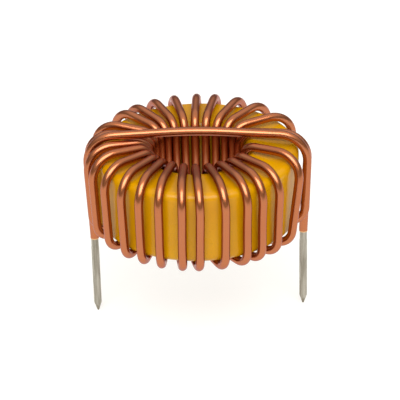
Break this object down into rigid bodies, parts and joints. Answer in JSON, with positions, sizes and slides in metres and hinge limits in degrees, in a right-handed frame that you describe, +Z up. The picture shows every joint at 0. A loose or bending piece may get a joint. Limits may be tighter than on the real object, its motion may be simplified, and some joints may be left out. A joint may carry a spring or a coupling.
{
  "type": "toroidal inductor",
  "caption": "Through-hole power inductor: a coated powder ring wound with thick enamelled copper wire, with two tinned, pointed leads.",
  "frame": {"origin": "midway between the two leads, in the plane of the circuit board's top face, where the enamel ends", "axes": "+Z up along the ring's axis, away from the board; the leads point along -Z; +X from the lead that runs into the bridge to the other lead"},
  "size_m": [0.0372, 0.0373, 0.0344],
  "materials": {
    "epoxy_coated_core": "glossy sprayed epoxy",
    "enamelled_copper": "clear enamel over drawn copper, tinned at both ends"
  },
  "bodies": {
    "root": {"core": "epoxy_coated_core", "winding": "enamelled_copper"}
  },
  "joints": []
}
